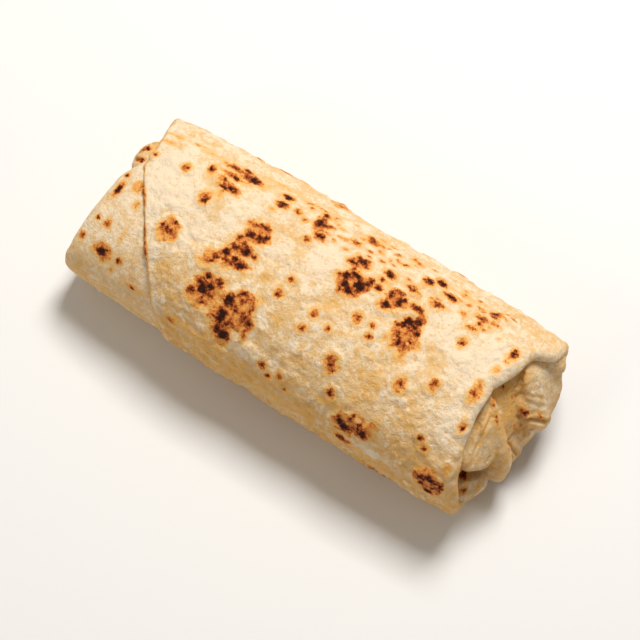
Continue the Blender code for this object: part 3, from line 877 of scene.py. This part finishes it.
def inner_layer(columns=220):
    g = (np.arange(columns) + 0.5) / columns * WHOLE - WHOLE / 2
    inset, crease, rim = inner_inset(g), crease_x(g), rim_x(g)
    rings = [roll_point(0 * g - 20, g, inset)]
    for t in np.linspace(0, 1, 60):
        rings.append(roll_point(rim + 14 + (crease + 2.5 - rim - 14) * t, g, inset))
    for turn in np.radians([18, 36, 54, 72, 90]):
        rings.append(roll_point(crease + 2.5 * (1 - np.sin(turn)), g, inset + 2.5 * (1 - np.cos(turn))))
    edge, middle = rings[-1], np.array([-88, -5, 16])
    for shrink in (0.93, 0.85, 0.75, 0.65, 0.5, 0.35, 0.2, 0.08):
        rings.append(middle + (edge - middle) * shrink)
    rings = np.stack(rings)
    rings[..., 2] = np.maximum(rings[..., 2], 0.6)
    faces = grid_faces(len(rings), columns)
    faces.append(list(range(columns))[::-1])
    faces.append([(len(rings) - 1) * columns + i for i in range(columns)])
    return rings.reshape(-1, 3), faces


CLOSED_TUCKS = {
    "far bulge": ([(-78, 22, 34, 5), (-84, 15, 36, 7), (-85, 6, 35, 6)], 8, (-1, 0, 0.4)),
    "far flap": ([(-80, 24, 30, 8), (-85, 17, 22, 12), (-87, 10, 11, 11)], 6, (-1, 0.1, 0.2)),
    "near flap": ([(-86, -3, 33, 9), (-89.5, -10, 22, 16), (-90.5, -12, 10, 14)], 5, (-1, -0.05, 0.2)),
}
points, normals, faces = join_soft("closed_end", [inner_layer()] + [pad(*t) for t in CLOSED_TUCKS.values()], 0.6, 3)
print("closed end", len(points), "points")

# %% Toast, painted shade and wrinkles on the closed end


def toast_and_shade_in_space(points, spots):
    """How many mm each point lies inside the nearest spot or stroke, negative outside."""
    best = np.full(len(points), -4.0)
    for radius, *path in spots:
        path = path * 2 if len(path) == 1 else path
        best = np.maximum(best, radius - distance_to_path(points, path)[0])
    return best


def girth_at(points):
    """The g of points near the roll's surface."""
    x, y, z = points.T
    across = -y / half_width(x)
    up = np.where(z >= LEVEL, (z - LEVEL) / (crest(x) - LEVEL), (z - LEVEL) / BELOW)
    size = np.maximum(np.hypot(across, up), 1e-6)
    angle = np.arctan2(across / size, up / size)
    table_angle = np.arctan2(ACROSS, UP)
    order = np.argsort(table_angle)
    return np.interp(angle, table_angle[order], GIRTH[order])


LEFT_FIELDS = [
    (-84, 6.5, 1.5, 3.6, 1.0), (-80, 22, 1.6, 2.2, 0.7), (-84.5, 21.5, 0.9, 1.5, 0.4), (-76.5, 33.5, 3.6, 3.6, 1.0),
    (-68.5, 33.5, 1.4, 1.6, 0.9), (-87, 32, 1.5, 2.2, 0.7), (-77.5, 2.5, 2.4, 2.8, 0.0), (-73.5, 9.5, 1.4, 1.8, 0.0),
    (-84.5, -1, 0.8, 1.2, 0.5), (-71.5, 24.5, 0.5, 1.4, 0.4), (-70, 38.5, 0.6, 1.2, 0.3), (-60, 41, 2.6, 0.5, 0.4),
]
# Painted shade: dark strokes laid in the valleys between the puckers, over the creases pressed there.
BULGE_SHADE_STROKES = [  # radius and path of the dark strokes between the puckers beside the rim
    (0.5, (-88, 12, 38.5), (-86, 13, 41.5)), (0.5, (-86, 14, 41), (-83.5, 14.5, 43.5)), (0.45, (-86.5, 9.5, 39.5), (-83.5, 9.5, 42)),
]
CLOSED_CREASES = [  # depth, width, path
    (0.7, 0.6, [(-89, 12, 37), (-87, 13, 40.5), (-84, 14, 43)]), (0.7, 0.6, [(-88, 9, 37.5), (-84, 9.5, 42)]),
    (0.6, 0.6, [(-86, 17, 38), (-83, 17.5, 42.5)]), (0.35, 0.7, [(-68, -14.5, 48), (-64.5, -24.5, 44), (-61.5, -34, 35.5)]),
]
g_there = girth_at(points)
field = depth_inside(points[:, 0], g_there, [s[:4] for s in LEFT_FIELDS])
core = depth_inside(points[:, 0], g_there, extra_cores(LEFT_FIELDS, 3) + [(-84, 6.5, 0.9, 2.4), (-76.5, 33.5, 2.0, 1.8)])
# painted shade in the bulge's valleys, as fields round the strokes and cores along them
field = np.maximum(field, toast_and_shade_in_space(points, [(r + 0.4, *path) for r, *path in BULGE_SHADE_STROKES]))
core = np.maximum(core, toast_and_shade_in_space(points, BULGE_SHADE_STROKES))
# painted shadow: a warm brown line on the layer beneath the rim, just outside its edge, high up and from g = 16 on
shadow_beside_rim = np.abs(points[:, 0] - rim_x(g_there) + 0.3)
field = np.maximum(field, np.where((points[:, 2] > 8) & (g_there > 16), 0.2 - 1.5 * shadow_beside_rim, -4))
points = creases(points, normals, CLOSED_CREASES)
push = 0.2 * noise(points, 12, 31) + 0.14 * noise(points, 5, 32) + 0.06 * noise(points, 2.2, 33)
points = points + normals * push[:, None]
points[:, 2] = np.maximum(points[:, 2], 0.3)
# painted shade: yellower and darker down the near side, as on the roll, and much more so on the far side, over the
# bulge
flour_and_shade = 0.65 - 0.7 * smooth(20, 60, g_there) - 1.0 * smooth(-14, -20, g_there)
painted = {"field": field, "core": core, "flour_and_shade": flour_and_shade}
closed_end = mesh_piece("closed_end", points, faces, painted, DOUGH)

# %% [markdown]
# ## The open end
#
# Under the hem the spare tortilla is gathered: a wide flap on the far side, a pocket under the notch, and
# on the near side a panel with one long pleat that ends in a round bulb.

# %% Build the open end


def open_core(columns=120):
    g = (np.arange(columns) + 0.5) / columns * WHOLE - WHOLE / 2
    base = roll_point(0 * g + 68, g, 6.0)
    foot = np.array([0, -2, 9])
    rings = []
    for shrink in (1, 0.99, 0.97, 0.94, 0.9, 0.83, 0.75, 0.67, 0.6, 0.52, 0.45, 0.37, 0.3, 0.2, 0.1):
        ring = foot + (base - foot) * shrink
        ring[:, 0] = 52 if shrink == 1 else 60 + 24 * (1 - shrink) ** 0.9
        rings.append(ring)
    rings = np.stack(rings)
    rings[..., 2] = np.maximum(rings[..., 2], 0.4)
    faces = grid_faces(len(rings), columns)
    faces.append(list(range(columns))[::-1])
    faces.append([(len(rings) - 1) * columns + i for i in range(columns)])
    return rings.reshape(-1, 3), faces


OPEN_TUCKS = {
    "far flap": (
        [(74, 23, 41, 8), (80.5, 21, 39, 10.5), (85.5, 18, 31, 11.5), (89.5, 14, 22, 11), (91.5, 13, 14, 8)],
        7, (1, 0.12, 0.55), 0.5,
    ),
    "far corner": ([(74, 29, 38, 6), (82, 30, 35, 8), (87, 29, 28, 7)], 8, (0.7, 0.7, 0.4), 0.6),
    "flap edge": ([(81, 7, 37, 3), (88, 8.5, 28, 5), (93, 11, 17, 4)], 6, (1, -0.1, 0.5), 0.6),
    "pocket": ([(69, 16, 47, 5), (75, 12, 42.5, 5), (79, 6, 38, 4)], 6, (0.7, 0, 0.8)),
    "middle panel": ([(70, 0, 46, 5), (78, 1, 38, 7), (85, -2, 26, 7)], 6, (0.9, 0, 0.5), 0.6),
    "under flap": ([(83, 2, 27, 4), (88, 5, 18, 5), (88, 4, 7, 6)], 7, (1, 0, 0.4)),
    "small fold": ([(83, -4, 26, 3), (87.5, -3, 15, 4.5), (88.5, -4, 6, 5)], 6, (1, 0, 0.4)),
    "near panel": ([(68, -6, 46, 5), (75, -12, 41, 10), (79.5, -19, 35, 10), (81, -24, 32, 7)], 6, (0.8, -0.1, 0.6), 0.5),
    "bridge": ([(72, -3, 46, 4), (78, -9.5, 38.5, 6), (82.5, -14, 31, 6)], 8, (0.8, -0.05, 0.6), 0.6),
    "finger": (
        [(73, -1, 47, 2), (78, -7, 38, 3.5), (82, -9.7, 31, 4.5), (86, -12, 22, 5.2), (88.5, -14.5, 11, 5.6)],
        11, (0.8, 0.2, 0.6), 0.85,
    ),
    "bottom layer": ([(67, -30, 11, 6), (74.5, -25, 12, 9), (83, -14.5, 11, 9)], 13, (0.4, -0.3, 0.8)),
}
points, normals, faces = join_soft("open_end", [open_core()] + [pad(*t) for t in OPEN_TUCKS.values()], 0.5, 4)
print("open end", len(points), "points")

# %% Toast, painted shade and wrinkles on the open end
PINCH = (81, 8, 39)  # where the far flap's wrinkles meet
OPEN_CREASES = [  # depth, width, path
    # the pinch that runs out from the pocket, and the small fold below it
    (1.5, 0.7, [(84.5, 2.5, 32.5), (87, 4.5, 30.5), (90, 6.5, 28), (92, 9, 23.5), (93.5, 11, 20.5)]),
    (1.3, 0.7, [(86.5, -8, 33), (87.5, -5, 20), (89.5, -4.5, 16), (91, -4, 12.5)]),
    (0.6, 0.5, [(86.5, 0.5, 30), (87.5, -1, 24)]), (0.6, 0.5, [(88.5, 3, 25), (89.5, 0.5, 21)]),
    (0.5, 0.5, [(90.5, 4.5, 25.5), (91, 2, 20)]),
    # the pocket's edge, and wrinkles fanning over the far flap
    (1.1, 0.6, [(78.5, 14.5, 46), (79.2, 13.5, 44), (79.8, 10.5, 42), (79.2, 7, 41.5)]),
    (0.3, 0.6, [PINCH, (85, 9.5, 39), (88.5, 13, 34), (91, 16, 27)]), (0.15, 0.8, [PINCH, (85, 12, 39.5), (88, 17.5, 34.5)]),
    (0.12, 0.9, [(81, 11, 42), (84, 14.5, 41), (86.5, 22, 36)]), (0.25, 0.6, [(84, 8, 38), (88.5, 10, 33), (92, 13, 25)]),
    (0.15, 0.8, [(82, 20, 42), (85, 23, 38), (88, 24, 31)]),
    # faint pulls over the near panel
    (0.4, 0.6, [(75, -4, 45.5), (76.5, -12.5, 43.5)]), (0.35, 0.6, [(76, -5.5, 44), (78.5, -13.5, 41.5), (80, -22.5, 38)]),
    (0.35, 0.6, [(78, -7, 44), (79, -11.5, 43), (79.5, -17, 39.5)]), (0.3, 0.6, [(80.5, -12, 40), (82.5, -16, 37)]),
    # the deep shade under the near panel, and the crease that sets off the bulb
    (1.8, 1.2, [(77, -25, 19), (78.5, -22.5, 18.5), (81, -19.5, 17.5), (82.5, -17.5, 16.5)]),
    (0.8, 0.7, [(84, -16, 34), (84.5, -18, 32)]),
]
OPEN_FIELDS_AND_SHADE = [  # radius, then a place or a path
    (1.3, (84.5, 4.5, 35), (87, 5, 33.5)), (0.9, (90.5, 8, 30), (91.5, 9, 26)), (0.7, (88.5, 13, 34)),
    (1.1, (82.5, 1.5, 37)), (0.7, (85, 0.5, 31.5), (86, -1, 29)), (0.6, (87, 2.5, 26), (87.5, 1, 24.5)),
    (0.5, (89.5, 3, 22.5), (89.5, 2, 21)), (1.0, (80, 5.5, 40)), (1.3, (81, -1.5, 38.5)), (0.6, (75.5, 5.5, 44)),
    (0.6, (75, -0.5, 47), (77, -3, 46.5)), (0.6, (79, -5, 44), (81, -6.5, 42)), (0.3, (79, -13, 42), (79.5, -16.5, 39.5)),
    # painted shade: the spot at (79, 12, 46) and the stroke from (75, 9, 44) darken the pocket under the notch and its
    # edge
    (1.3, (81, -27, 15)), (2.0, (78.5, -22.5, 17.5)), (0.8, (85, -23, 14.5)), (1.0, (79, 12, 46)),
    (0.5, (75, 9, 44), (78, 5.5, 41), (80.5, 2.5, 38)), (0.3, (74, 3, 46), (77, 1, 42)),
]
OPEN_CORES_AND_SHADE = [
    (0.6, (85.5, 4.5, 34.5), (87, 5, 33.5)), (0.3, (91, 8.5, 28)), (0.3, (85.5, -0.5, 30)), (0.5, (75.5, 5.5, 44)),
    (0.3, (75.5, -1, 47), (76.5, -2.5, 46.5)), (0.3, (79.5, -5.5, 43.5), (80.5, -6, 42.5)), (0.4, (81, -27, 15)),
    # painted shade: this core and the field of radius 2.0 at (78.5, -22.5, 17.5) above are a dark spot in the gap under
    # the near panel
    (1.6, (78, -22.5, 17.5)),
]
OPEN_FLOUR_AND_SHADE = [  # place, radius, how white
    # painted shade: the first zone, at (76, 7, 43), makes the pocket yellower and darker
    (76, 7, 43, 8, -1.3), (82, 0, 35, 8, -0.8), (86, 18, 34, 12, 0.5), (78, -16, 40, 8, 0.2), (84, -10, 28, 7, -0.8),
]


def flour_and_shade_in_space(points, zones):
    flour_and_shade = np.full(len(points), -0.05)
    for x0, y0, z0, radius, white in zones:
        flour_and_shade += white * smooth(1.3, 0.3, np.linalg.norm(points - [x0, y0, z0], axis=1) / radius)
    return flour_and_shade


field, core = toast_and_shade_in_space(points, OPEN_FIELDS_AND_SHADE), toast_and_shade_in_space(points, OPEN_CORES_AND_SHADE)
painted = {"field": field, "core": core, "flour_and_shade": flour_and_shade_in_space(points, OPEN_FLOUR_AND_SHADE)}
points = creases(points, normals, OPEN_CREASES)
push = 0.22 * noise(points, 9, 41) + 0.18 * noise(points, 3.6, 42) + 0.10 * noise(points, 1.8, 43)
points = points + normals * push[:, None]
points[:, 2] = np.maximum(points[:, 2], 0.3)
open_end = mesh_piece("open_end", points, faces, painted, DOUGH)

# %% [markdown]
# ## Table, light and camera
#
# A pale plain table and two soft lights: a broad key high over the far side, which leaves the near side
# in gentle shade, and a weak warm fill from the near side. An even warm surround does the rest.

# %% Table


def table_top():
    mesh = bpy.data.meshes.new("table")
    size = 3.0
    mesh.from_pydata([(-size, -size, 0), (size, -size, 0), (size, size, 0), (-size, size, 0)], [], [(0, 1, 2, 3)])
    material = bpy.data.materials.new("pale table")
    material.use_nodes = True
    material.node_tree.nodes["Principled BSDF"].inputs["Base Color"].default_value = (0.85, 0.85, 0.85, 1)
    material.node_tree.nodes["Principled BSDF"].inputs["Roughness"].default_value = 0.8
    mesh.materials.append(material)
    table = bpy.data.objects.new("table", mesh)
    bpy.context.scene.collection.objects.link(table)


table_top()

# %% Lights
KEY_PLACE = Vector((-0.08, 0.56, 1.04))
FILL_PLACE = Vector((-0.35, -0.75, 0.65))


def soft_light(name, place, size, watts, colour):
    light = bpy.data.lights.new(name, "AREA")
    light.energy, light.size, light.color = watts, size, colour
    lamp = bpy.data.objects.new(name, light)
    lamp.location = place
    lamp.rotation_euler = place.to_track_quat("Z", "Y").to_euler()
    bpy.context.scene.collection.objects.link(lamp)


soft_light("key", KEY_PLACE, 0.4, 13.6, (1.0, 0.98, 0.95))
soft_light("fill", FILL_PLACE, 0.3, 1.3, (1.0, 0.92, 0.80))
world = bpy.data.worlds.new("surround")
world.use_nodes = True
world.node_tree.nodes["Background"].inputs["Color"].default_value = (1, 0.92, 0.80, 1)
world.node_tree.nodes["Background"].inputs["Strength"].default_value = 0.27
bpy.context.scene.world = world

# %% Camera
AZIMUTH, ELEVATION, DISTANCE = np.radians(32.9), np.radians(70.0), 0.8
TARGET = Vector((0.003, -0.0027, 0.025))
FIELD_MM = 238.0  # width of the view at the target
towards = Vector((np.sin(AZIMUTH) * np.cos(ELEVATION), -np.cos(AZIMUTH) * np.cos(ELEVATION), np.sin(ELEVATION)))
camera = bpy.data.objects.new("camera", bpy.data.cameras.new("camera"))
camera.location = TARGET + towards * DISTANCE
camera.rotation_euler = towards.to_track_quat("Z", "Y").to_euler()
camera.data.sensor_width = 36
camera.data.lens = 36 * DISTANCE / (FIELD_MM * MM)
bpy.context.scene.collection.objects.link(camera)
bpy.context.scene.camera = camera
bpy.context.scene.view_settings.view_transform = "Standard"
